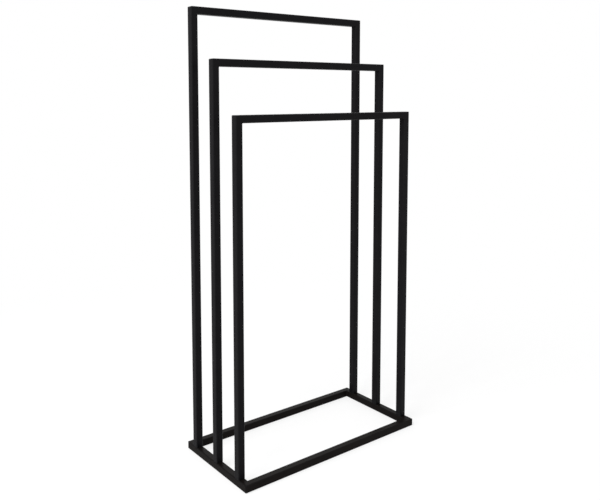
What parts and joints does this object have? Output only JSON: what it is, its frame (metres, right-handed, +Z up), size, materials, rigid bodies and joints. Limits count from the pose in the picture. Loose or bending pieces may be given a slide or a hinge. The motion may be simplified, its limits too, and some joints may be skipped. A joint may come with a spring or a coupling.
{
  "type": "freestanding towel stand",
  "caption": "Freestanding towel stand of black square tube: inverted-U hoops of falling height stand one before another on a rectangular tube base.",
  "frame": {"origin": "on the floor, under the middle of the base", "axes": "+X to the right, +Y to the rear where the tallest hoop stands, +Z up; the front is -Y"},
  "size_m": [0.46, 0.21, 0.913],
  "materials": {
    "powder_coat": "matt black powder coat with a fine texture",
    "zinc_steel": "bright zinc plate",
    "pad_rubber": "matt stick-on rubber"
  },
  "bodies": {
    "root": {"base_front_rail": "powder_coat", "base_rear_rail": "powder_coat", "base_left_rail": "powder_coat", "base_right_rail": "powder_coat", "rear_hoop_left_post": "powder_coat", "rear_hoop_right_post": "powder_coat", "rear_hoop_top_bar": "powder_coat", "middle_hoop_left_post": "powder_coat", "middle_hoop_right_post": "powder_coat", "middle_hoop_top_bar": "powder_coat", "front_hoop_left_post": "powder_coat", "front_hoop_right_post": "powder_coat", "front_hoop_top_bar": "powder_coat", "rear_hoop_left_plug": "zinc_steel", "rear_hoop_right_plug": "zinc_steel", "middle_hoop_left_plug": "zinc_steel", "middle_hoop_right_plug": "zinc_steel", "front_hoop_left_plug": "zinc_steel", "front_hoop_right_plug": "zinc_steel", "foot_screws": "zinc_steel", "lock_washers": "zinc_steel", "front_left_floor_pad": "pad_rubber", "front_right_floor_pad": "pad_rubber", "rear_left_floor_pad": "pad_rubber", "rear_right_floor_pad": "pad_rubber"}
  },
  "joints": []
}
